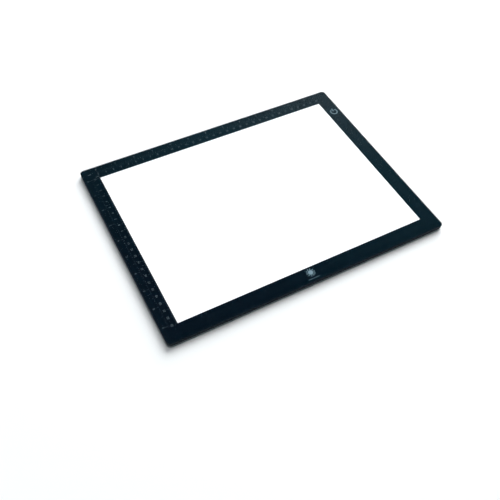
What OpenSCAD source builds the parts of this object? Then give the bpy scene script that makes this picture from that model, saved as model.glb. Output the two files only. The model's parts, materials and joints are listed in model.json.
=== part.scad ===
// Edge-lit LED light box, A4 size: a clear top panel over a lit window, in a shallow two-part shell.
// Millimetres. The origin is on the surface that the feet stand on, under the middle of the panel.
// +X runs to the user's right, +Y away from the user, +Z up.

/* [Panel] */
// Width of the panel, left to right
panel_w = 360; // [330:1:460]
// Depth of the panel, near edge to far edge
panel_d = 270; // [250:1:340]
// Thickness of the clear top panel
panel_t = 1.5; // [1.5:0.1:3]
// Radius of the panel's corners in plan
corner_r = 5; // [4.5:0.1:6]
// Bevel round the panel's upper rim
panel_bevel = 0.4; // [0.2:0.1:0.6]
// Width of the dark border round the lit window
border = 20; // [20:0.5:24]

/* [Light stack] */
// Thickness of the light guide plate
guide_t = 3; // [2.9:0.1:4]
// Thickness of the reflector sheet and of the diffuser film
film_t = 0.25; // [0.2:0.05:0.4]
// How far the stack runs under the border, past the window
stack_lap = 4; // [3.5:0.1:4]
// Spacing of the LEDs along each board
led_pitch = 8; // [6:0.5:12]

/* [Shell] */
// Height that the feet hold the shell off the surface
foot_lift = 1; // [0.6:0.1:1.5]
// Thickness of the rear cover's floor
floor_t = 1.2; // [1.1:0.1:1.6]
// Thickness of the shell's side walls
wall_t = 1.6; // [1.5:0.1:1.7]
// Chamfer round the rear cover's bottom rim
rim_chamfer = 2; // [1:0.1:2.1]
// Height of the rear cover's wall above its floor
cover_wall_h = 1.8; // [1.6:0.1:2]

/* [Controls] */
// Distance of the touch key from the far edge
key_from_far = 42.5; // [38:0.5:60]
// Distance of the power socket from the key, towards the user
socket_from_key = 15; // [14:0.5:16]

/* [Hidden] */
$fn = 64;
// Overlap of joined shapes, and how far a cut runs past what it cuts
eps = 0.01;
over = 1;

// Tapes, the border sheet, and the gap over it that holds the print and a film of clear adhesive
tape_t = 0.15;
tape_inset = 1;
mask_t = 0.1;
mask_inset = 0.2;
ink_t = 0.04;
ink_gap = 0.05;

// Heights, from the surface that the feet stand on
z_floor_out = foot_lift;
z_floor = z_floor_out + floor_t;
z_guide = z_floor + film_t;
z_diffuser = z_guide + guide_t;
z_tape = z_diffuser + film_t;
z_mask = z_tape + tape_t;
z_ink = z_mask + mask_t;
z_panel = z_ink + ink_gap;
z_top = z_panel + panel_t;
z_parting = z_floor + cover_wall_h;

// Window and light stack, as half sizes
half_w = panel_w / 2;
half_d = panel_d / 2;
window_x = half_w - border;
window_y = half_d - border;
stack_x = window_x + stack_lap;
stack_y = window_y + stack_lap;

// LED boards stand on edge along the far and near sides of the guide
led_w = 3.5;
led_h = 2.8;
led_t = 0.8;
led_gap = 0.1;
led_lens = [2.8, 2.0, 0.1];
board_t = 0.8;
board_end = 4;
led_end = 4;
strip_end_gap = 1;
led_y = stack_y + led_gap;
strip_y = led_y + led_t;
strip_back_y = strip_y + board_t;
strip_x = stack_x - board_end;
led_side = floor((strip_x - led_end) / led_pitch - 0.5);

// Mid frame: inner wall, channel and outer wall, open below and closed above by a web
cushion_t = 1;
cushion_share = 0.8;
inner_wall_t = 1.4;
web_t = 0.7;
nest_gap = 0.2;
seat_x = stack_x + cushion_t;
seat_y = strip_back_y + tape_t;
nest_x = half_w - wall_t - nest_gap;
nest_y = half_d - wall_t - nest_gap;
channel_in_x = seat_x + inner_wall_t;
channel_in_y = seat_y + inner_wall_t;
channel_out_x = nest_x - wall_t;
channel_out_y = nest_y - wall_t;
channel_r = 1;
z_web = z_tape - web_t;
parting_chamfer = 0.2;

// Screws and their bosses
screw_r = 0.95;
screw_head_r = 1.9;
screw_head_h = 0.95;
screw_recess = 0.05;
screw_slot = [2.2, 0.5, 0.6];
pilot_r = 1;
pilot_skin = 0.3;
screw_end_gap = 0.2;
sink_gap = 0.1;
clear_r = 1.15;
boss_r = 2.7;
boss_lap = 0.3;
boss_x = channel_in_x + boss_r - boss_lap;
boss_y = channel_out_y - boss_r + boss_lap;
z_pilot = z_web - pilot_skin;
long_side_screws = [-0.33, 0.33];
short_side_screws = [-0.32, 0.32];
screw_places = concat(
    [for (sx = [-1, 1], sy = [-1, 1]) [sx * boss_x, sy * boss_y]],
    [for (f = long_side_screws, sy = [-1, 1]) [f * half_w, sy * boss_y]],
    [for (f = short_side_screws, sx = [-1, 1]) [sx * boss_x, f * half_d]]
);

// Rulers along the far and left borders, zero at the window's corner. Centimetres lie against the
// window, inches against a line along the middle of the border, and both rows of ticks run outwards.
line_w = 0.25;
cm = 10;
inch = 25.4;
cm_tick = 3.2;
inch_tick = 3.2;
cm_base = 0.5;
inch_base = border / 2;
zero_line_end = 1.5;

// Power symbol over the touch key, and the plain sun over a row of dashes in the near border
symbol_r = 5.2;
symbol_w = 1.3;
symbol_gap = 70;
symbol_bar = [1.3, 5];
symbol_bar_from = 1;
mark_disc_r = 3;
mark_rays = 10;
mark_ray = [1.6, 1];
mark_ray_from = 3.8;
mark_from_near = 12.5;
mark_dashes = 7;
mark_dash = [1.2, 0.7];
mark_dash_pitch = 2.1;
dashes_from_near = 4.4;

// Feet
foot_r = 6;
foot_pocket = 0.5;
foot_round = 0.3;
foot_inset = 22;
foot_x = half_w - foot_inset;
foot_y = half_d - foot_inset;
foot_places = [for (fx = [-foot_x, 0, foot_x], fy = [-foot_y, foot_y]) [fx, fy]];

// Ribs across the channel leave a lane along the outer wall for the leads
rib_t = 1.2;
rib_lane = 3.4;
rib_x_places = [for (f = [-0.78, -0.55, -0.11, 0.11, 0.55, 0.78]) f * half_w];
rib_y_places = [for (f = [-0.75, -0.55, -0.1, 0.12]) f * half_d];

// Controller board, hung under the web beside the key
key_y = half_d - key_from_far;
key_off_middle = 0.5;
key_x = half_w - border / 2 + key_off_middle;
ctrl_gap = 0.3;
ctrl_past_key = 16;
ctrl_before_key = 28;
ctrl_t = 0.8;
ctrl_x0 = channel_in_x + ctrl_gap;
ctrl_x1 = channel_out_x - ctrl_gap;
ctrl_far = key_y + ctrl_past_key;
ctrl_near = key_y - ctrl_before_key;
ctrl_tape_t = 0.3;
z_ctrl = z_web - ctrl_tape_t - ctrl_t;
pad_r = 3.6;
pad_gap = 0.5;

// Micro-USB socket, sunk through the board's outer edge
usb_w = 7.5;
usb_h = 2.45;
usb_len = 5.5;
usb_wall = 0.3;
usb_slope = 0.7;
usb_recess = 0.3;
usb_gap = 0.15;
usb_y = key_y - socket_from_key;
usb_x1 = half_w - usb_recess;
usb_x0 = usb_x1 - usb_len;
usb_web_gap = 0.05;
z_usb = z_web - usb_web_gap - usb_h;
usb_back_t = 1.5;
usb_tongue = [3.4, 3.7, 0.6];
usb_tongue_up = 0.25;
z_usb_tongue = z_usb + (usb_h - usb_tongue[2]) / 2 + usb_tongue_up;
usb_contact = [3.0, 0.25, 0.08];
usb_contact_pitch = 0.65;
usb_contacts = 5;
skin_t = 1;
tab_w = usb_w + 5;
tab_x1 = nest_x;

// Parts under the controller board
chip_lift = 0.1;
chip = [4.9, 3.9, 1.4];
chip_x = (ctrl_x0 + ctrl_x1) / 2 - 0.8;
chip_y = key_y + 1;
chip_pins = 4;
chip_pin = [0.45, 1.0, 0.25];
chip_pitch = 1.27;
driver = [2.9, 1.4, 1.0];
driver_pin = [0.4, 0.6, 0.2];
driver_pitch = 0.95;
driver_x = ctrl_x0 + 3;
driver_y = key_y - 24;
resistor = [2.0, 1.25, 0.5];
resistor_ys = [for (i = [0:3]) key_y + 6.4 + 2.6 * i];
capacitor = [2.0, 1.25, 0.9];
capacitor_ys = [for (i = [0:2]) key_y - 6.5 - 3 * i];
small_parts_x = ctrl_x0 + 2;

// Leads
lead_r = 0.4;
lead_bend = 1.6;
lead_pitch = 1.2;
lead_in_x = ctrl_x1 - 1.9;
lead_in_y = channel_in_y + 2.1;
lead_pad_x = strip_x - lead_r;
lead_pad_pitch = 1.6;
lead_notch = [3.2, 3];
lead_notch_end = 0.6;
lead_tuck = 3;
z_lead = z_ctrl - lead_r;

// ---------------------------------------------------------------- helpers

// Rounded rectangle, hw and hd being half its width and depth
module plate_2d(hw, hd, r) {
    square([2 * hw, 2 * (hd - r)], center = true);
    square([2 * (hw - r), 2 * hd], center = true);
    for (sx = [-1, 1], sy = [-1, 1])
        translate([sx * (hw - r), sy * (hd - r)]) circle(r);
}

module plate(hw, hd, r, z0, z1) {
    translate([0, 0, z0]) linear_extrude(z1 - z0) plate_2d(hw, hd, r);
}

module block(hw, hd, z0, z1) {
    translate([-hw, -hd, z0]) cube([2 * hw, 2 * hd, z1 - z0]);
}

// Slab whose rim follows a profile: a list of [inset from the outer edge, z], from bottom to top
module rimmed_slab(hw, hd, r, rim) {
    z0 = rim[0][1];
    z1 = rim[len(rim) - 1][1];
    down = [for (i = [len(rim) - 1:-1:0]) rim[i]];
    along_x = concat([for (p = rim) [hd - p[0], p[1]]], [for (p = down) [p[0] - hd, p[1]]]);
    along_y = concat([for (p = rim) [hw - p[0], p[1]]], [for (p = down) [p[0] - hw, p[1]]]);
    corner = concat([[0, z0]], [for (p = rim) [r - p[0], p[1]]], [[0, z1]]);
    translate([r - hw, 0, 0]) rotate([90, 0, 90]) linear_extrude(2 * (hw - r)) polygon(along_x);
    translate([0, hd - r, 0]) rotate([90, 0, 0]) linear_extrude(2 * (hd - r)) polygon(along_y);
    for (i = [0:3]) {
        sx = i == 0 || i == 3 ? 1 : -1;
        sy = i < 2 ? 1 : -1;
        translate([sx * (hw - r), sy * (hd - r), 0]) rotate([0, 0, 90 * i])
            rotate_extrude(angle = 90) polygon(corner);
    }
}

module at_screws(z) {
    for (p = screw_places) translate([p[0], p[1], z]) children();
}

// Box given by its middle in plan, its size and its lowest z
module chip_box(x, y, size, z) {
    translate([x - size[0] / 2, y - size[1] / 2, z]) cube(size);
}

// ---------------------------------------------------------------- shell

module rear_cover() {
    color([0.10, 0.11, 0.12]) difference() {
        rimmed_slab(half_w, half_d, corner_r, [
            [rim_chamfer, z_floor_out], [0, z_floor_out + rim_chamfer],
            [0, z_parting - parting_chamfer], [parting_chamfer, z_parting]
        ]);
        plate(half_w - wall_t, half_d - wall_t, corner_r - wall_t, z_floor, z_parting + over);
        at_screws(z_floor_out - over) cylinder(r = clear_r, h = floor_t + 2 * over);
        at_screws(z_floor_out - eps) cylinder(r1 = screw_head_r + sink_gap, r2 = clear_r, h = screw_head_h);
        for (p = foot_places) translate([p[0], p[1], z_floor_out - over])
            cylinder(r = foot_r + sink_gap, h = over + foot_pocket);
        socket_opening();
    }
}

// Space that the power socket takes in the side walls
module socket_opening() {
    translate([half_w - wall_t - 2 * over, usb_y - usb_w / 2 - usb_gap, z_usb - usb_gap])
        cube([wall_t + 4 * over, usb_w + 2 * usb_gap, z_web - z_usb + usb_gap]);
}

module mid_frame() {
    color([0.10, 0.11, 0.12]) difference() {
        union() {
            difference() {
                frame_body();
                channel();
            }
            at_screws(z_floor) cylinder(r = boss_r, h = z_web - z_floor + eps);
            ribs();
        }
        stack_seat();
        at_screws(z_floor - over) cylinder(r = pilot_r, h = z_pilot - z_floor + over);
        lead_notches();
        key_opening();
        translate([channel_out_x - over, usb_y - tab_w / 2 - usb_gap, z_floor - over])
            cube([half_w - skin_t - channel_out_x + over, tab_w + 2 * usb_gap, z_web - z_floor + over]);
        socket_opening();
    }
}

// Lower part nests inside the rear cover's wall, upper part is flush with the shell
module frame_body() {
    rimmed_slab(half_w, half_d, corner_r, [
        [parting_chamfer, z_parting], [0, z_parting + parting_chamfer], [0, z_tape]
    ]);
    plate(nest_x, nest_y, corner_r - wall_t - nest_gap, z_floor, z_parting + eps);
}

module channel() {
    difference() {
        plate(channel_out_x, channel_out_y, channel_r, z_floor - over, z_web);
        block(channel_in_x, channel_in_y, z_floor - 2 * over, z_web + over);
    }
}

module ribs() {
    len_x = channel_out_x - channel_in_x - rib_lane;
    len_y = channel_out_y - channel_in_y - rib_lane;
    h = z_web - z_floor + eps;
    for (flip = [0, 1], x = rib_x_places) mirror([0, flip, 0])
        translate([x - rib_t / 2, channel_in_y - eps, z_floor]) cube([rib_t, len_y, h]);
    for (flip = [0, 1], y = rib_y_places) mirror([flip, 0, 0])
        translate([channel_in_x - eps, y - rib_t / 2, z_floor]) cube([len_x, rib_t, h]);
}

// Opening that the light stack sits in, with blocks in its corners that locate the guide
module stack_seat() {
    block(seat_x, stack_y + led_gap, z_floor - over, z_tape + over);
    block(strip_x + strip_end_gap, seat_y, z_floor - over, z_tape + over);
}

module lead_notches() {
    x = strip_x - lead_notch[0] + lead_notch_end;
    h = z_web - z_floor + over;
    for (flip = [0, 1]) mirror([0, flip, 0])
        translate([x, seat_y - over, z_floor - over]) cube([lead_notch[0], lead_notch[1], h]);
}

module key_opening() {
    translate([key_x, key_y, z_web - over]) cylinder(r = pad_r + pad_gap, h = web_t + 2 * over);
}

// ---------------------------------------------------------------- panel and films

module top_panel() {
    color([0.75, 0.85, 0.90, 0.35]) rimmed_slab(half_w, half_d, corner_r, [
        [0, z_panel], [0, z_top - panel_bevel], [panel_bevel, z_top]
    ]);
}

module border_mask() {
    color([0.02, 0.03, 0.04]) difference() {
        plate(half_w - mask_inset, half_d - mask_inset, corner_r - mask_inset, z_mask, z_ink);
        block(window_x, window_y, z_mask - over, z_ink + over);
    }
}

module ink_box(x0, y0, size) {
    translate([x0, y0, z_ink]) cube([size[0], size[1], ink_t]);
}

// Ticks of one scale along the window's far side and left side, at a distance out from the window
module scale_ticks(pitch, from, length) {
    for (i = [1:floor(2 * window_x / pitch)])
        ink_box(-window_x + i * pitch - line_w / 2, window_y + from, [line_w, length]);
    for (i = [1:floor(2 * window_y / pitch)])
        ink_box(-window_x - from - length, window_y - i * pitch - line_w / 2, [length, line_w]);
}

module ruler_print() {
    zero_len = border - cm_base - zero_line_end;
    color([0.35, 0.42, 0.45]) {
        scale_ticks(cm, cm_base, cm_tick);
        scale_ticks(inch, inch_base, inch_tick);
        ink_box(-window_x - line_w / 2, window_y + cm_base, [line_w, zero_len]);
        ink_box(-window_x - cm_base - zero_len, window_y - line_w / 2, [zero_len, line_w]);
    }
}

// Broken ring with a bar in its gap, which faces the far edge
module key_symbol() {
    color([0.55, 0.65, 0.68]) translate([key_x, key_y, z_ink]) {
        rotate([0, 0, 90 + symbol_gap / 2]) rotate_extrude(angle = 360 - symbol_gap)
            translate([symbol_r - symbol_w, 0]) square([symbol_w, ink_t]);
        translate([-symbol_bar[0] / 2, symbol_bar_from, 0]) cube([symbol_bar[0], symbol_bar[1], ink_t]);
    }
}

// Plain sun over a row of dashes
module front_mark() {
    color([0.60, 0.68, 0.72]) translate([0, mark_from_near - half_d, z_ink]) {
        cylinder(r = mark_disc_r, h = ink_t);
        for (i = [0:mark_rays - 1]) rotate([0, 0, i * 360 / mark_rays])
            translate([mark_ray_from, -mark_ray[1] / 2, 0]) cube([mark_ray[0], mark_ray[1], ink_t]);
        for (i = [0:mark_dashes - 1])
            chip_box((i - (mark_dashes - 1) / 2) * mark_dash_pitch, dashes_from_near - mark_from_near,
                [mark_dash[0], mark_dash[1], ink_t], 0);
    }
}

module panel_tape() {
    color([0.85, 0.85, 0.80]) difference() {
        plate(half_w - tape_inset, half_d - tape_inset, corner_r - tape_inset, z_tape, z_mask);
        block(window_x + tape_inset, window_y + tape_inset, z_tape - over, z_mask + over);
    }
}

module diffuser_film() {
    color([0.97, 0.97, 0.98]) block(stack_x, stack_y, z_diffuser, z_tape);
}

module light_guide_plate() {
    color([0.85, 0.93, 0.96, 0.4]) block(stack_x, stack_y, z_guide, z_diffuser);
}

module reflector_sheet() {
    color([0.96, 0.96, 0.96]) block(stack_x, stack_y, z_floor, z_guide);
}

module edge_cushions() {
    len_y = 2 * stack_y * cushion_share;
    color([0.20, 0.20, 0.20]) for (flip = [0, 1]) mirror([flip, 0, 0])
        translate([stack_x, -len_y / 2, z_guide]) cube([cushion_t, len_y, guide_t]);
}

// ---------------------------------------------------------------- LED boards

// Draws its children on the far side, or mirrored on the near side
module on_side(far) {
    mirror([0, far ? 0 : 1, 0]) children();
}

module led_board() {
    color([0.92, 0.93, 0.90]) translate([-strip_x, strip_y, z_guide]) cube([2 * strip_x, board_t, guide_t]);
}

// Each LED has a shallow window in the face that meets the guide
module leds() {
    z = z_guide + (guide_t - led_h) / 2;
    z_lens = z + (led_h - led_lens[1]) / 2;
    color([0.95, 0.90, 0.60]) for (i = [-led_side:led_side + 1]) translate([(i - 0.5) * led_pitch, 0, 0])
        difference() {
            translate([-led_w / 2, led_y, z]) cube([led_w, led_t, led_h]);
            translate([-led_lens[0] / 2, led_y - over, z_lens])
                cube([led_lens[0], over + led_lens[2], led_lens[1]]);
        }
}

module led_board_far() { on_side(true) led_board(); }
module led_board_near() { on_side(false) led_board(); }
module leds_far() { on_side(true) leds(); }
module leds_near() { on_side(false) leds(); }

module strip_tapes() {
    tape_x = strip_x - lead_tuck;
    color([0.80, 0.80, 0.75]) for (far = [true, false]) on_side(far)
        translate([-tape_x, strip_back_y, z_guide]) cube([2 * tape_x, tape_t, guide_t]);
}

// ---------------------------------------------------------------- controller

module controller_board() {
    tab_len = tab_x1 - ctrl_x1 + eps;
    color([0.05, 0.35, 0.20]) difference() {
        union() {
            translate([ctrl_x0, ctrl_near, z_ctrl]) cube([ctrl_x1 - ctrl_x0, ctrl_far - ctrl_near, ctrl_t]);
            translate([ctrl_x1 - eps, usb_y - tab_w / 2, z_ctrl]) cube([tab_len, tab_w, ctrl_t]);
        }
        translate([usb_x0 - usb_gap, usb_y - usb_w / 2 - usb_gap, z_ctrl - over])
            cube([usb_len + 2 * over, usb_w + 2 * usb_gap, ctrl_t + 2 * over]);
    }
}

// Two pieces, on both sides of the touch pad and clear of the socket
module board_tape() {
    z = z_ctrl + ctrl_t;
    pad_edge = pad_r + 2 * pad_gap;
    far_size = [ctrl_x1 - ctrl_x0, ctrl_far - key_y - pad_edge, ctrl_tape_t];
    near_size = [usb_x0 - ctrl_x0 - pad_gap, key_y - pad_edge - ctrl_near, ctrl_tape_t];
    color([0.80, 0.80, 0.75]) {
        translate([ctrl_x0, key_y + pad_edge, z]) cube(far_size);
        translate([ctrl_x0, ctrl_near, z]) cube(near_size);
    }
}

module touch_pad() {
    z = z_ctrl + ctrl_t;
    color([0.25, 0.25, 0.27]) translate([key_x, key_y, z]) cylinder(r = pad_r, h = z_tape - z);
}

module touch_dimmer_chip() {
    x = chip_x;
    y = chip_y;
    color([0.08, 0.08, 0.08]) {
        chip_box(x, y, [chip[1], chip[0], chip[2]], z_ctrl - chip[2] - chip_lift);
        for (side = [-1, 1], i = [0:chip_pins - 1])
            chip_box(x + side * (chip[1] + chip_pin[1]) / 2, y + (i - (chip_pins - 1) / 2) * chip_pitch,
                [chip_pin[1], chip_pin[0], chip_pin[2]], z_ctrl - chip_pin[2]);
    }
}

module led_driver() {
    x = driver_x;
    y = driver_y;
    color([0.08, 0.08, 0.08]) {
        chip_box(x, y, [driver[1], driver[0], driver[2]], z_ctrl - driver[2] - chip_lift);
        for (i = [-1, 1]) chip_box(x - (driver[1] + driver_pin[1]) / 2, y + i * driver_pitch,
            [driver_pin[1], driver_pin[0], driver_pin[2]], z_ctrl - driver_pin[2]);
        chip_box(x + (driver[1] + driver_pin[1]) / 2, y,
            [driver_pin[1], driver_pin[0], driver_pin[2]], z_ctrl - driver_pin[2]);
    }
}

module chip_parts(size, ys) {
    for (y = ys) chip_box(small_parts_x, y, [size[1], size[0], size[2]], z_ctrl - size[2]);
}

module chip_resistors() {
    color([0.10, 0.10, 0.12]) chip_parts(resistor, resistor_ys);
}

module chip_capacitors() {
    color([0.60, 0.50, 0.35]) chip_parts(capacitor, capacitor_ys);
}

// ---------------------------------------------------------------- power socket

// Outline of the socket's shell seen from outside, wider above than below
function usb_outline(inset) = [
    [-usb_w / 2 + inset, usb_h - inset], [-usb_w / 2 + inset, usb_slope + inset / 2],
    [-usb_w / 2 + usb_slope + inset / 2, inset], [usb_w / 2 - usb_slope - inset / 2, inset],
    [usb_w / 2 - inset, usb_slope + inset / 2], [usb_w / 2 - inset, usb_h - inset]
];

module usb_prism(inset, x0, length) {
    translate([x0, usb_y, z_usb]) rotate([90, 0, 90]) linear_extrude(length) polygon(usb_outline(inset));
}

module usb_socket_shell() {
    color([0.75, 0.76, 0.78]) difference() {
        usb_prism(0, usb_x0, usb_len);
        usb_prism(usb_wall, usb_x0 - over, usb_len + 2 * over);
    }
}

module usb_socket_tongue() {
    color([0.06, 0.06, 0.06]) {
        usb_prism(usb_wall, usb_x0, usb_back_t);
        translate([usb_x0 + usb_back_t - eps, usb_y - usb_tongue[1] / 2, z_usb_tongue])
            cube([usb_tongue[0] + eps, usb_tongue[1], usb_tongue[2]]);
    }
}

module usb_socket_contacts() {
    x = usb_x0 + usb_back_t + usb_contact[0] / 2;
    color([0.90, 0.75, 0.35]) for (i = [0:usb_contacts - 1])
        chip_box(x, usb_y + (i - (usb_contacts - 1) / 2) * usb_contact_pitch, usb_contact,
            z_usb_tongue - usb_contact[2]);
}

// ---------------------------------------------------------------- leads

// Lead from the controller board to one end of an LED board. It runs along the frame's channel,
// turns the corner, and turns again into the back of the LED board. lane counts outwards.
module lead(far, lane) {
    x = lead_in_x + lane * lead_pitch;
    y = lead_in_y + lane * lead_pitch;
    pad_x = lead_pad_x - lane * lead_pad_pitch;
    start = far ? ctrl_far - lead_tuck : -(ctrl_near + lead_tuck);
    r = lead_bend + lane * lead_pitch;
    last_x = pad_x + lead_bend;
    last_y = y - lead_bend;
    on_side(far) translate([0, 0, z_lead]) {
        translate([x, start, 0]) rotate([-90, 0, 0]) cylinder(r = lead_r, h = y - r - start);
        translate([x - r, y - r, 0]) rotate_extrude(angle = 90) translate([r, 0]) circle(lead_r);
        translate([last_x, y, 0]) rotate([0, 90, 0]) cylinder(r = lead_r, h = x - r - last_x);
        translate([last_x, last_y, 0]) rotate([0, 0, 90])
            rotate_extrude(angle = 90) translate([lead_bend, 0]) circle(lead_r);
        translate([pad_x, strip_back_y, 0]) rotate([-90, 0, 0])
            cylinder(r = lead_r, h = last_y - strip_back_y);
    }
}

module lead_far_red() { color([0.75, 0.08, 0.06]) lead(true, 0); }
module lead_far_black() { color([0.05, 0.05, 0.05]) lead(true, 1); }
module lead_near_red() { color([0.75, 0.08, 0.06]) lead(false, 0); }
module lead_near_black() { color([0.05, 0.05, 0.05]) lead(false, 1); }

// ---------------------------------------------------------------- fasteners and feet

module cover_screws() {
    z0 = z_floor_out + screw_recess;
    color([0.20, 0.20, 0.22]) at_screws(z0) difference() {
        union() {
            cylinder(r1 = screw_head_r, r2 = screw_r, h = screw_head_h);
            cylinder(r = screw_r, h = z_pilot - z0 - screw_end_gap);
        }
        for (a = [45, 135]) rotate([0, 0, a])
            translate([-screw_slot[0] / 2, -screw_slot[1] / 2, -eps]) cube(screw_slot);
    }
}

module rubber_feet() {
    h = z_floor_out + foot_pocket;
    color([0.12, 0.12, 0.12]) for (p = foot_places) translate([p[0], p[1], 0]) rotate_extrude()
        polygon([[0, 0], [foot_r - foot_round, 0], [foot_r, foot_round], [foot_r, h], [0, h]]);
}

rear_cover();
mid_frame();
top_panel();
border_mask();
panel_tape();
ruler_print();
key_symbol();
front_mark();
diffuser_film();
light_guide_plate();
reflector_sheet();
edge_cushions();
led_board_far();
led_board_near();
leds_far();
leds_near();
strip_tapes();
controller_board();
board_tape();
touch_pad();
touch_dimmer_chip();
led_driver();
chip_resistors();
chip_capacitors();
usb_socket_shell();
usb_socket_tongue();
usb_socket_contacts();
lead_far_red();
lead_far_black();
lead_near_red();
lead_near_black();
cover_screws();
rubber_feet();
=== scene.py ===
import json
import math

import bmesh
import bpy
from mathutils import Matrix, Vector


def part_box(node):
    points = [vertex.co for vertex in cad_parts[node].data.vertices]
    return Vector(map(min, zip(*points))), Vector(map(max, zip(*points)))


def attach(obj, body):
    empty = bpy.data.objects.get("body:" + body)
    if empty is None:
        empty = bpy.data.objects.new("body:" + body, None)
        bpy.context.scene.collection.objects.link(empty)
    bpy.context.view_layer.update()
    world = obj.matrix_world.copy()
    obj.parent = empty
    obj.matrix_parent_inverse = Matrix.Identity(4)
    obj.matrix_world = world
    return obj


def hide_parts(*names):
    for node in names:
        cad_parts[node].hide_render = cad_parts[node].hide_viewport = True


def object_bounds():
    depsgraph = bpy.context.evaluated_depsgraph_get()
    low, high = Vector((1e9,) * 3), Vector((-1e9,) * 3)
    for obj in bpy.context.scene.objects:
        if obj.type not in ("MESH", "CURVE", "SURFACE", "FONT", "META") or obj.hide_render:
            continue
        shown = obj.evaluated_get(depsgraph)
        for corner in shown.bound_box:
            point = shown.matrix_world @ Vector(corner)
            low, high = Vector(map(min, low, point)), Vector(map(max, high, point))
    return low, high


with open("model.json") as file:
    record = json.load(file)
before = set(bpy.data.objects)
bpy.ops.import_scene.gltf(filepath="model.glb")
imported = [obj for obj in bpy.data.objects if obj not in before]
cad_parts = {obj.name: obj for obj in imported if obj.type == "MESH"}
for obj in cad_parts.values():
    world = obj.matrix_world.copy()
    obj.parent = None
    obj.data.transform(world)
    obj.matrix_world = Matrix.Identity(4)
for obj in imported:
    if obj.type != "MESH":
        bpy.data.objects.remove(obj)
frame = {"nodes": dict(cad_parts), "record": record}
cad_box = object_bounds()

MM = 0.001
LOW, HIGH = cad_box
HALF_W = (HIGH.x - LOW.x) / 2
HALF_D = (HIGH.y - LOW.y) / 2
GUIDE_LOW, GUIDE_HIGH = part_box("light_guide_plate")
PRINT_LOW, PRINT_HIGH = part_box("ruler_print")

# ---------------------------------------------------------------- camera, room, lights

CAMERA_AT = Vector((-0.2779, -0.4287, 0.5897))
CAMERA_AXIS = Vector((0.3040, 0.5107, -0.8042))
CAMERA_ROLL = math.radians(3.655)
SENSOR = 36.0
LENS = 45.51
SHIFT = (0.0224, -0.0011)
NEAR_CLIP = 0.01

BACKDROP = (1.0, 1.0, 1.0)
# the pale band along the horizon: its radiance, how high it stays so, and where it has faded out
ROOM_HORIZON = (0.31, 0.39, 0.41)
ROOM_HORIZON_TOP = math.radians(18)
ROOM_DARK_FROM = math.radians(37)
ROOM_PALE_SIDE = Vector((0.640, 0.763, -0.087))
# cosine of the angle from the pale side, and the room's radiance there
ROOM_SIDE = [
    (0.45, (0.01, 0.005, 0.015)),
    (0.52, (0.01, 0.03, 0.04)),
    (0.65, (0.05, 0.14, 0.17)),
    (0.85, (0.5, 0.56, 0.6)),
]
SOFTBOXES = [
    # name, azimuth from +X, elevation, distance, size, watts, seen in reflections
    ("key", 45, 29.5, 4.4, 4.7, 460, False),
    ("top", 60, 86, 3.0, 0.9, 29, True),
]
# places of a colour Mix node's two colours among its inputs, and of its result among its outputs
MIX_FIRST, MIX_SECOND, MIX_RESULT = 6, 7, 2


def make_camera():
    forward = CAMERA_AXIS.normalized()
    level = forward.cross(Vector((0, 0, 1))).normalized()
    up = level.cross(forward)
    right = level * math.cos(CAMERA_ROLL) + up * math.sin(CAMERA_ROLL)
    top = right.cross(forward)
    camera = bpy.data.objects.new("camera", bpy.data.cameras.new("camera"))
    camera.data.sensor_width = SENSOR
    camera.data.lens = LENS
    camera.data.shift_x, camera.data.shift_y = SHIFT
    camera.data.clip_start = NEAR_CLIP
    turn = Matrix((right, top, -forward)).transposed().to_4x4()
    camera.matrix_world = Matrix.Translation(CAMERA_AT) @ turn
    bpy.context.scene.collection.objects.link(camera)
    bpy.context.scene.camera = camera


def make_softbox(name, azimuth, elevation, distance, size, watts, reflected):
    light = bpy.data.lights.new(name, "AREA")
    light.shape = "DISK"
    light.size = size
    light.energy = watts
    lamp = bpy.data.objects.new(light.name, light)
    a, e = math.radians(azimuth), math.radians(elevation)
    way = Vector((math.cos(a) * math.cos(e), math.sin(a) * math.cos(e), math.sin(e)))
    lamp.location = way * distance
    lamp.visible_glossy = lamp.visible_transmission = reflected
    lamp.rotation_euler = way.to_track_quat("Z", "Y").to_euler()
    bpy.context.scene.collection.objects.link(lamp)


def colour_ramp(nodes, stops):
    made = nodes.new("ShaderNodeValToRGB")
    made.color_ramp.elements.remove(made.color_ramp.elements[1])
    for i, (position, colour) in enumerate(stops):
        stop = made.color_ramp.elements[0] if i == 0 else made.color_ramp.elements.new(position)
        stop.position, stop.color = position, (*colour, 1)
    return made


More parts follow.
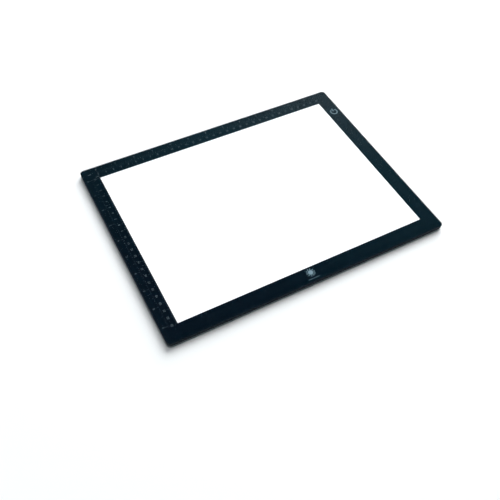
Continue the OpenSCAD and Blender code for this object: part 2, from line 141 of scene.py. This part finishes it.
def make_room():
    """A white backdrop behind the object. What the object reflects is dimmer, as in a dark studio:
    a pale band along the horizon, and a paler side that fades upwards."""
    world = bpy.data.worlds.new("studio")
    bpy.context.scene.world = world
    world.use_nodes = True
    nodes, links = world.node_tree.nodes, world.node_tree.links
    coords = nodes.new("ShaderNodeTexCoord").outputs["Generated"]
    split = nodes.new("ShaderNodeSeparateXYZ")
    links.new(coords, split.inputs[0])
    band = colour_ramp(nodes, [
        (0.0, ROOM_HORIZON), (math.sin(ROOM_HORIZON_TOP), ROOM_HORIZON),
        (math.sin(ROOM_DARK_FROM), (0.0, 0.0, 0.0)),
    ])
    links.new(split.outputs["Z"], band.inputs[0])
    towards = nodes.new("ShaderNodeVectorMath")
    towards.operation = "DOT_PRODUCT"
    towards.inputs[1].default_value = ROOM_PALE_SIDE
    links.new(coords, towards.inputs[0])
    side = colour_ramp(nodes, ROOM_SIDE)
    links.new(towards.outputs["Value"], side.inputs[0])
    both = nodes.new("ShaderNodeMix")
    both.data_type, both.blend_type = "RGBA", "LIGHTEN"
    both.inputs["Factor"].default_value = 1.0
    links.new(band.outputs[0], both.inputs[MIX_FIRST])
    links.new(side.outputs[0], both.inputs[MIX_SECOND])
    links.new(both.outputs[MIX_RESULT], nodes["Background"].inputs["Color"])
    backdrop = nodes.new("ShaderNodeBackground")
    backdrop.inputs["Color"].default_value = (*BACKDROP, 1)
    seen = nodes.new("ShaderNodeMixShader")
    links.new(nodes.new("ShaderNodeLightPath").outputs["Is Camera Ray"], seen.inputs[0])
    links.new(nodes["Background"].outputs[0], seen.inputs[1])
    links.new(backdrop.outputs[0], seen.inputs[2])
    links.new(seen.outputs[0], nodes["World Output"].inputs["Surface"])


make_camera()
make_room()
for box in SOFTBOXES:
    make_softbox(*box)
bpy.context.scene.view_settings.view_transform = "Standard"


# ---------------------------------------------------------------- materials

# how far a face's normal may lean towards vertical and still count as the object's edge
EDGE_NORMAL_Z = 0.8
# the shell's rubbed rim: how far it reaches in from the outline, and how much paler and smoother it is
RUB_WIDTH = 0.6 * MM
RUB_PALER = 1.5
RUB_SMOOTHER = 0.12
# half height of the phosphor window in an LED's face, and how deep behind the guide's edge it lies
PHOSPHOR_HALF_H = 1.0 * MM
PHOSPHOR_DEPTH = 0.3 * MM
# how far up a foot its polished part reaches
FOOT_WEAR = 0.15 * MM


class Surface:
    """A Principled material built up from procedural layers in object space, where 1 is a metre."""

    def __init__(self, name, **sockets):
        self.material = bpy.data.materials.new(name)
        self.material.use_nodes = True
        self.tree = self.material.node_tree
        self.shader = self.tree.nodes["Principled BSDF"]
        self.coords = self.tree.nodes.new("ShaderNodeTexCoord").outputs["Object"]
        self.set(**sockets)

    def set(self, **sockets):
        for key, value in sockets.items():
            socket = self.shader.inputs[key.replace("_", " ")]
            if isinstance(value, bpy.types.NodeSocket):
                self.tree.links.new(value, socket)
            elif isinstance(value, tuple):
                socket.default_value = (*value, 1)
            else:
                socket.default_value = value
        return self

    def node(self, kind, *inputs, **settings):
        made = self.tree.nodes.new("ShaderNode" + kind)
        for key, value in settings.items():
            setattr(made, key, value)
        for i, value in enumerate(inputs):
            if isinstance(value, bpy.types.NodeSocket):
                self.tree.links.new(value, made.inputs[i])
            elif value is not None:
                made.inputs[i].default_value = value
        return made

    def calc(self, operation, *inputs):
        return self.node("Math", *inputs, operation=operation).outputs[0]

    def place(self, stretch=(1, 1, 1)):
        return self.node("Mapping", self.coords, None, None, stretch).outputs[0]

    def noise(self, size, detail=2, stretch=(1, 1, 1), rough=0.5):
        made = self.node("TexNoise", self.place(stretch))
        made.inputs["Scale"].default_value = 1 / size
        made.inputs["Detail"].default_value = detail
        made.inputs["Roughness"].default_value = rough
        return made.outputs[0]

    def cells(self, size):
        made = self.node("TexVoronoi", self.place())
        made.inputs["Scale"].default_value = 1 / size
        return made.outputs["Distance"]

    def span(self, value, low, high, to_low=0.0, to_high=1.0):
        """value from low..high to to_low..to_high, clamped."""
        return self.node("MapRange", value, low, high, to_low, to_high).outputs[0]

    def blend(self, factor, first, second):
        made = self.node("Mix", data_type="RGBA")
        self.tree.links.new(factor, made.inputs["Factor"])
        for at, value in ((MIX_FIRST, first), (MIX_SECOND, second)):
            socket = made.inputs[at]
            if isinstance(value, bpy.types.NodeSocket):
                self.tree.links.new(value, socket)
            else:
                socket.default_value = (*value, 1)
        return made.outputs[MIX_RESULT]

    def bump(self, height, depth, strength=1.0):
        made = self.node("Bump")
        made.inputs["Strength"].default_value = strength
        made.inputs["Distance"].default_value = depth
        self.tree.links.new(height, made.inputs["Height"])
        return self.set(Normal=made.outputs[0])

    def inset(self):
        """How far a point lies inside the object's outline in plan, in metres."""
        x, y, _ = self.axes()
        from_side = self.calc("SUBTRACT", HALF_W, self.calc("ABSOLUTE", x))
        from_end = self.calc("SUBTRACT", HALF_D, self.calc("ABSOLUTE", y))
        return self.calc("MINIMUM", from_side, from_end)

    def on_edge(self):
        """1 on the upright faces and bevels round the outside, 0 on the level faces."""
        normal = self.node("SeparateXYZ", self.tree.nodes["Texture Coordinate"].outputs["Normal"])
        return self.calc("LESS_THAN", self.calc("ABSOLUTE", normal.outputs[2]), EDGE_NORMAL_Z)

    def axes(self):
        return self.node("SeparateXYZ", self.coords).outputs

    def grid(self, pitch, line):
        """1 on the lines of a square grid in plan, 0 between them."""
        x, y, _ = self.axes()
        on = [self.calc("PINGPONG", a, pitch / 2) for a in (x, y)]
        return self.calc("LESS_THAN", self.calc("MINIMUM", *on), line / 2)

    def let_shadow_rays_through(self, tint):
        """Light crosses this clear piece without being bent, so that what lies under it is lit."""
        out = self.tree.nodes["Material Output"]
        path = self.node("LightPath").outputs["Is Shadow Ray"]
        clear = self.node("BsdfTransparent", (*tint, 1)).outputs[0]
        both = self.node("MixShader", path, self.shader.outputs[0], clear).outputs[0]
        self.tree.links.new(both, out.inputs["Surface"])
        return self


def moulded(name, dark, light, rough_low, rough_high, grain, depth):
    """Moulded plastic: fine texture, slow colour drift and a rubbed outer edge."""
    s = Surface(name)
    drift = s.span(s.noise(0.03, 3), 0.35, 0.65)
    rub = s.calc("MULTIPLY", s.span(s.inset(), 0, RUB_WIDTH, 1, 0), s.span(s.noise(0.004, 4), 0.45, 0.7))
    base = s.blend(rub, s.blend(drift, dark, light), tuple(RUB_PALER * c for c in light))
    texture = s.calc("ADD", s.noise(grain, 2), s.calc("MULTIPLY", s.cells(grain * 2.5), 0.6))
    rough = s.span(s.noise(0.008, 4), 0.3, 0.7, rough_low, rough_high)
    s.set(Base_Color=base, Roughness=s.calc("SUBTRACT", rough, s.calc("MULTIPLY", rub, RUB_SMOOTHER)))
    s.set(Specular_IOR_Level=0.07, Specular_Tint=(0.35, 0.75, 1.0))
    return s.bump(texture, depth).material


def clear_panel():
    """Polished acrylic, with a trace of handling: soft smudges and hair-fine scratches. Its upright edges
    are drawn opaque in a painted blue-black, a painted reflection of the dark print that shows through a
    clear edge.
    """
    s = Surface("clear_panel", IOR=1.49)
    smudge = s.span(s.noise(0.05, 5, rough=0.6), 0.45, 0.75)
    hairs = [s.span(s.noise(0.0012, 1, stretch), 0.74, 0.78)
             for stretch in ((1, 0.02, 1), (0.03, 1, 1))]
    scratch = s.calc("MAXIMUM", *hairs)
    edge = s.on_edge()
    saw = s.noise(0.0006, 3, (1, 1, 0.1))
    top_rough = s.calc("ADD", s.calc("MULTIPLY", smudge, 0.03), 0.012)
    s.set(Roughness=s.calc("MAXIMUM", top_rough, s.calc("MULTIPLY", edge, s.span(saw, 0, 1, 0.45, 0.65))))
    tint = s.blend(smudge, (0.985, 0.995, 1.0), (0.975, 0.985, 0.99))
    # painted reflection: on the upright edges the clear acrylic is given an opaque dark blue-black
    # colour, and no transmission, standing in for the dark print seen through the clear edge
    s.set(Base_Color=s.blend(edge, tint, (0.0025, 0.0085, 0.0135)))
    s.set(Transmission_Weight=s.calc("SUBTRACT", 1.0, edge))
    s.set(Specular_Tint=s.blend(edge, (1.0, 1.0, 1.0), (0.08, 0.2, 0.26)))
    s.bump(s.calc("ADD", scratch, s.calc("MULTIPLY", edge, saw)), 1e-6, 0.35)
    return s.let_shadow_rays_through((0.93, 0.95, 0.96)).material


def border_print():
    """Screen-printed blue-black ink, with the faint mottle of a thick coat."""
    s = Surface("border_print", Specular_IOR_Level=0.0)
    mottle = s.span(s.noise(0.022, 4, rough=0.6), 0.35, 0.65)
    fleck = s.span(s.noise(0.0009, 2), 0.4, 0.75)
    tone = s.blend(mottle, (0.0013, 0.0048, 0.0085), (0.0020, 0.0062, 0.0105))
    s.set(Base_Color=s.blend(fleck, tone, (0.0022, 0.0066, 0.011)))
    s.set(Roughness=s.span(s.noise(0.003, 3), 0.3, 0.7, 0.42, 0.6))
    return s.bump(s.noise(0.0003, 2), 3e-6).material


def printed_ink(name, thin, full, pitch, metal_share):
    """Silver-grey ink laid over the dark coat. The screen's mesh leaves tiny thin spots."""
    s = Surface(name, Specular_IOR_Level=0.0, Metallic=metal_share)
    worn = s.span(s.noise(0.0025, 4, rough=0.65), 0.42, 0.68)
    mesh = s.span(s.cells(pitch), 0.1, 0.6)
    tone = s.blend(s.calc("MULTIPLY", worn, mesh), full, thin)
    s.set(Base_Color=tone, Roughness=s.span(worn, 0, 1, 0.5, 0.65))
    return s.bump(mesh, 4e-6).material


def diffuser():
    """Opal film, lit from below. The printed dots of the guide show only as the finest mottle."""
    s = Surface("diffuser", Roughness=0.6, Emission_Strength=1.0)
    mottle = s.span(s.noise(0.0022, 3), 0.3, 0.7)
    slow = s.span(s.noise(0.09, 2), 0.3, 0.7)
    glow = s.blend(s.calc("MULTIPLY", mottle, slow), (0.785, 0.79, 0.79), (0.765, 0.77, 0.772))
    s.set(Base_Color=s.blend(mottle, (0.40, 0.41, 0.415), (0.38, 0.39, 0.395)), Emission_Color=glow)
    return s.bump(mottle, 2e-6).material


def guide_acrylic():
    """Clear acrylic with its grid of printed light-extracting dots."""
    s = Surface("guide_acrylic", IOR=1.49, Transmission_Weight=0.85)
    dots = s.span(s.cells(0.0012), 0.16, 0.2, 1, 0)
    s.set(Base_Color=s.blend(dots, (0.9, 0.96, 0.98), (0.97, 0.97, 0.97)))
    s.set(Roughness=s.span(dots, 0, 1, 0.05, 0.6))
    return s.bump(dots, 5e-6).material


def matt_sheet(name, first, second, fibre, rough, stretch=(1, 1, 1)):
    """Tape, film or foam: a fibrous or cellular sheet."""
    s = Surface(name, Specular_IOR_Level=0.3)
    fibres = s.span(s.noise(fibre, 4, stretch, 0.65), 0.35, 0.68)
    s.set(Base_Color=s.blend(fibres, first, second))
    s.set(Roughness=s.span(fibres, 0, 1, rough - 0.1, rough))
    return s.bump(fibres, fibre * 0.15).material


def woven(name, first, second, pitch):
    """Plain-woven metallised cloth."""
    s = Surface(name, Metallic=0.7)
    x, y, _ = s.axes()
    over = s.calc("MULTIPLY", *[s.calc("PINGPONG", a, pitch) for a in (x, y)])
    weave = s.span(over, 0, pitch * pitch)
    s.set(Base_Color=s.blend(weave, first, second), Roughness=s.span(weave, 0, 1, 0.55, 0.35))
    return s.bump(weave, pitch * 0.3).material


def solder_mask(name, mask, track, pitch, line):
    """Lacquered circuit board with its tracks showing through as slightly raised lines."""
    s = Surface(name, Coat_Weight=0.4, Coat_Roughness=0.15)
    tracks = s.calc("MULTIPLY", s.grid(pitch, line), s.span(s.noise(pitch * 1.5, 0), 0.48, 0.5))
    s.set(Base_Color=s.blend(tracks, mask, track))
    s.set(Roughness=s.span(s.noise(0.0008, 3), 0.3, 0.7, 0.3, 0.42))
    return s.bump(tracks, 2e-5).material


def led_body():
    """White package. The phosphor fills the shallow window in the face that meets the guide."""
    s = Surface("led_body", Specular_IOR_Level=0.5)
    _, y, z = s.axes()
    into = s.calc("ABSOLUTE", s.calc("SUBTRACT", z, (GUIDE_LOW.z + GUIDE_HIGH.z) / 2))
    behind = s.calc("SUBTRACT", s.calc("ABSOLUTE", y), GUIDE_HIGH.y)
    face = s.span(behind, PHOSPHOR_DEPTH / 2, PHOSPHOR_DEPTH, 1, 0)
    phosphor = s.calc("MULTIPLY", face, s.span(into, PHOSPHOR_HALF_H, 1.05 * PHOSPHOR_HALF_H, 1, 0))
    grain = s.noise(0.0002, 2)
    s.set(Base_Color=s.blend(phosphor, (0.86, 0.86, 0.84), (0.93, 0.76, 0.18)))
    s.set(Emission_Color=s.blend(phosphor, (0.0, 0.0, 0.0), (1.0, 0.98, 0.85)))
    s.set(Emission_Strength=1.0, Roughness=s.span(grain, 0.3, 0.7, 0.35, 0.5))
    return s.bump(grain, 4e-6).material


def component(name, body, end, rough):
    """Small moulded or fired part with a fine grain."""
    s = Surface(name, Specular_IOR_Level=0.4)
    grain = s.noise(0.00012, 3, rough=0.6)
    s.set(Base_Color=s.blend(s.span(grain, 0.4, 0.6), body, end))
    s.set(Roughness=s.span(grain, 0.3, 0.7, rough - 0.08, rough + 0.08))
    return s.bump(grain, 6e-6).material


def metal(name, first, second, rough_low, rough_high, brush):
    """Plated or blackened metal with drawing marks and small worn spots."""
    s = Surface(name, Metallic=1.0)
    marks = s.noise(0.0002, 2, brush)
    worn = s.span(s.noise(0.0008, 4, rough=0.6), 0.5, 0.7)
    s.set(Base_Color=s.blend(worn, first, second))
    s.set(Roughness=s.span(marks, 0.3, 0.7, rough_low, rough_high))
    return s.bump(marks, 3e-6).material


def wire(name, first, second):
    """PVC insulation, smooth with a slight ripple."""
    s = Surface(name, Specular_IOR_Level=0.5)
    ripple = s.noise(0.0011, 3)
    s.set(Base_Color=s.blend(s.span(ripple, 0.35, 0.65), first, second))
    s.set(Roughness=s.span(ripple, 0.3, 0.7, 0.3, 0.45))
    return s.bump(ripple, 8e-6).material


def rubber():
    """Matt rubber, dusty and a little polished where it touches the table."""
    s = Surface("foot_rubber", Specular_IOR_Level=0.35)
    _, _, z = s.axes()
    dust = s.calc("MULTIPLY", s.span(s.noise(0.0015, 5, rough=0.7), 0.45, 0.7), 0.6)
    touch = s.span(z, 0, FOOT_WEAR, 1, 0)
    s.set(Base_Color=s.blend(dust, (0.012, 0.013, 0.014), (0.05, 0.051, 0.05)))
    s.set(Roughness=s.calc("SUBTRACT", 0.85, s.calc("MULTIPLY", touch, 0.25)))
    return s.bump(s.calc("ADD", s.noise(0.0003, 2), s.noise(0.002, 3)), 1.2e-5).material


MATERIALS = {
    "shell_plastic": moulded(
        "shell_plastic", (0.0022, 0.0056, 0.0088), (0.0038, 0.0084, 0.0125), 0.42, 0.58, 0.0003, 1.1e-5),
    "clear_panel": clear_panel(),
    "border_print": border_print(),
    "ruler_ink": printed_ink("ruler_ink", (0.054, 0.067, 0.075), (0.108, 0.133, 0.150), 0.00035, 0.76),
    "symbol_ink": printed_ink("symbol_ink", (0.11, 0.17, 0.20), (0.18, 0.26, 0.30), 0.0005, 0.0),
    "tape": matt_sheet("tape", (0.80, 0.80, 0.74), (0.88, 0.88, 0.83), 0.0006, 0.8, (1, 0.15, 1)),
    "diffuser": diffuser(),
    "guide_acrylic": guide_acrylic(),
    "reflector": matt_sheet("reflector", (0.90, 0.91, 0.91), (0.95, 0.95, 0.95), 0.0004, 0.5),
    "foam": matt_sheet("foam", (0.015, 0.015, 0.016), (0.05, 0.05, 0.052), 0.0004, 0.95),
    "conductive_foam": woven("conductive_foam", (0.09, 0.09, 0.10), (0.38, 0.38, 0.40), 0.0002),
    "white_board": solder_mask(
        "white_board", (0.82, 0.83, 0.80), (0.74, 0.74, 0.70), 2.0 * MM, 0.9 * MM),
    "green_board": solder_mask(
        "green_board", (0.008, 0.10, 0.045), (0.02, 0.20, 0.085), 0.9 * MM, 0.3 * MM),
    "led_body": led_body(),
    "chip_black": component("chip_black", (0.008, 0.008, 0.009), (0.02, 0.02, 0.021), 0.55),
    "resistor_body": component("resistor_body", (0.010, 0.010, 0.013), (0.03, 0.03, 0.035), 0.4),
    "capacitor_body": component("capacitor_body", (0.36, 0.25, 0.14), (0.48, 0.36, 0.22), 0.45),
    "socket_steel": metal(
        "socket_steel", (0.60, 0.60, 0.60), (0.42, 0.42, 0.42), 0.2, 0.34, (0.1, 1, 1)),
    "contact_gold": metal(
        "contact_gold", (0.90, 0.66, 0.28), (0.72, 0.52, 0.22), 0.18, 0.3, (0.1, 1, 1)),
    "red_wire": wire("red_wire", (0.42, 0.012, 0.010), (0.52, 0.03, 0.02)),
    "black_wire": wire("black_wire", (0.010, 0.010, 0.010), (0.022, 0.022, 0.022)),
    "screw_steel": metal(
        "screw_steel", (0.035, 0.036, 0.038), (0.13, 0.13, 0.135), 0.28, 0.42, (1, 1, 0.2)),
    "foot_rubber": rubber(),
}

for part in frame["record"]["subparts"]:
    mesh = frame["nodes"][part["node"]].data
    mesh.materials.clear()
    mesh.materials.append(MATERIALS[part["material_slot"]])

# ---------------------------------------------------------------- print

BORDER = 20 * MM
WINDOW_X = HALF_W - BORDER
WINDOW_Y = HALF_D - BORDER
INCH = 25.4 * MM
CM = 10 * MM
INCH_BASE = BORDER / 2
CM_BASE = 0.5 * MM
FINE_LINE = 0.1 * MM
ZERO_LINE = 0.16 * MM
# the step between ticks of a kind, as a share of the unit, and the length of that kind
CM_TICKS = [(0.1, 1.3 * MM), (0.5, 2.2 * MM), (1.0, 3.2 * MM)]
INCH_TICKS = [
    (1 / 16, 0.8 * MM), (1 / 8, 1.2 * MM), (1 / 4, 1.8 * MM), (1 / 2, 2.4 * MM), (1.0, 3.2 * MM),
]
CM_DIGITS_AT = 6.9 * MM
INCH_DIGITS_AT = 16.0 * MM
DIGIT_HEIGHT = 2.6 * MM
DIGIT_BOLDER = 0.04 * MM
# room that the zero line leaves on either side of a numeral's middle
DIGIT_CLEAR = DIGIT_HEIGHT * 0.7
# height of the built-in font's numerals, as a share of its size
FONT_DIGIT_SHARE = 0.73
# unit names beside the rulers' common corner: along the far ruler, and outwards from the window
LABEL_HEIGHT = 1.9 * MM
UNIT_LABELS = [("cm", -2.9 * MM, 3.6 * MM), ("inch", -10.3 * MM, 10.1 * MM)]
# a division that falls this close to a coarser one, or to the ruler's end, counts as on it
DIVISION_SLACK = 1e-6


def lay_far(along, out):
    """A place on the far ruler, along it from zero and outwards from the window."""
    return Vector((-WINDOW_X + along, WINDOW_Y + out, 0))


def lay_left(along, out):
    """The same place on the left ruler."""
    return Vector((-WINDOW_X - out, WINDOW_Y - along, 0))


def flat_shape(mesh, outline):
    """A thin printed patch over the dark coat, from its outline in plan."""
    low = [mesh.verts.new((p.x, p.y, PRINT_LOW.z)) for p in outline]
    high = [mesh.verts.new((p.x, p.y, PRINT_HIGH.z)) for p in outline]
    mesh.faces.new(high)
    mesh.faces.new(low[::-1])
    for i in range(len(outline)):
        j = (i + 1) % len(outline)
        mesh.faces.new((low[i], low[j], high[j], high[i]))


def bar(mesh, lay, along0, along1, out0, out1):
    corners = [lay(along0, out0), lay(along1, out0), lay(along1, out1), lay(along0, out1)]
    turn = (corners[1] - corners[0]).cross(corners[2] - corners[1]).z
    flat_shape(mesh, corners if turn > 0 else corners[::-1])


def ticks(mesh, lay, unit, base, kinds, length):
    """Every division once, at the length of the coarsest kind that it belongs to."""
    step = kinds[0][0]
    for i in range(1, int(length / unit / step + DIVISION_SLACK) + 1):
        share = i * step
        tall = max(t for each, t in kinds if abs(share / each - round(share / each)) < DIVISION_SLACK)
        middle = share * unit
        bar(mesh, lay, middle - FINE_LINE / 2, middle + FINE_LINE / 2, base, base + tall)


_glyphs = {}


def glyphs(text, height):
    """Outline of a numeral or unit as a flat mesh, centred, as tall as asked."""
    key = (text, height)
    if key not in _glyphs:
        curve = bpy.data.curves.new("numeral", "FONT")
        curve.body = text
        curve.align_x = "CENTER"
        curve.size = height / FONT_DIGIT_SHARE
        curve.resolution_u = 3
        curve.offset = DIGIT_BOLDER
        curve.extrude = (PRINT_HIGH.z - PRINT_LOW.z) / 2
        holder = bpy.data.objects.new("numeral", curve)
        bpy.context.scene.collection.objects.link(holder)
        bpy.context.view_layer.update()
        _glyphs[key] = bpy.data.meshes.new_from_object(
            holder.evaluated_get(bpy.context.evaluated_depsgraph_get()))
        bpy.data.objects.remove(holder)
    return _glyphs[key]


def numeral(mesh, lay, text, along, out, height=DIGIT_HEIGHT):
    """Print one centred on its place, with its top away from the window."""
    flat = glyphs(text, height)
    turn = 0 if lay is lay_far else math.pi / 2
    middle = lay(along, out)
    middle.z = (PRINT_LOW.z + PRINT_HIGH.z) / 2
    to_middle = Matrix.Translation((0, -height / 2, 0))
    settle = Matrix.Translation(middle) @ Matrix.Rotation(turn, 4, "Z") @ to_middle
    start = len(mesh.verts)
    mesh.from_mesh(flat)
    mesh.verts.ensure_lookup_table()
    bmesh.ops.transform(mesh, matrix=settle, verts=mesh.verts[start:])


def make_ruler_print():
    mesh = bmesh.new()
    for lay, length in ((lay_far, 2 * WINDOW_X), (lay_left, 2 * WINDOW_Y)):
        ticks(mesh, lay, CM, CM_BASE, CM_TICKS, length)
        ticks(mesh, lay, INCH, INCH_BASE, INCH_TICKS, length)
        below_digit = (CM_BASE, CM_DIGITS_AT - DIGIT_CLEAR)
        above_digit = (CM_DIGITS_AT + DIGIT_CLEAR, INCH_DIGITS_AT - DIGIT_CLEAR)
        for inner, outer in (below_digit, above_digit):
            bar(mesh, lay, -ZERO_LINE / 2, ZERO_LINE / 2, inner, outer)
        for unit, digits_at in ((CM, CM_DIGITS_AT), (INCH, INCH_DIGITS_AT)):
            for n in range(int(length / unit + DIVISION_SLACK) + 1):
                numeral(mesh, lay, str(n), n * unit, digits_at)
    for name, along, outwards in UNIT_LABELS:
        numeral(mesh, lay_far, name, along, outwards, LABEL_HEIGHT)
    data = bpy.data.meshes.new("ruler_scales")
    mesh.to_mesh(data)
    mesh.free()
    piece = bpy.data.objects.new("ruler_scales", data)
    bpy.context.scene.collection.objects.link(piece)
    data.materials.clear()
    data.materials.append(MATERIALS["ruler_ink"])
    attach(piece, "root")
    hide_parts("ruler_print")


make_ruler_print()

# ---------------------------------------------------------------- floor

FLOOR_SIZE = 8.0
FLOOR_PAINT = (0.848, 0.866, 0.87)
# distances over which the floor's look goes from lit white to as bright as the backdrop
FLOOR_LIT_TO = 0.3
FLOOR_WHITE_FROM = 0.7


def make_floor():
    mesh = bpy.data.meshes.new("floor")
    half = FLOOR_SIZE / 2
    corners = [(-half, -half, 0), (half, -half, 0), (half, half, 0), (-half, half, 0)]
    mesh.from_pydata(corners, [], [(0, 1, 2, 3)])
    floor = bpy.data.objects.new("floor", mesh)
    bpy.context.scene.collection.objects.link(floor)
    s = Surface("floor_white", Base_Color=FLOOR_PAINT, Specular_IOR_Level=0.1)
    s.set(Roughness=s.span(s.noise(0.05, 3), 0.3, 0.7, 0.75, 0.85))
    # far from the object the floor is as bright as the backdrop, so that no line shows between them
    away = s.node("VectorMath", s.coords, operation="LENGTH").outputs["Value"]
    sweep = s.node("Emission", (*BACKDROP, 1), 1.0).outputs[0]
    share = s.span(away, FLOOR_LIT_TO, FLOOR_WHITE_FROM)
    s.tree.links.new(
        s.node("MixShader", share, s.shader.outputs[0], sweep).outputs[0],
        s.tree.nodes["Material Output"].inputs["Surface"])
    mesh.materials.append(s.material)


make_floor()
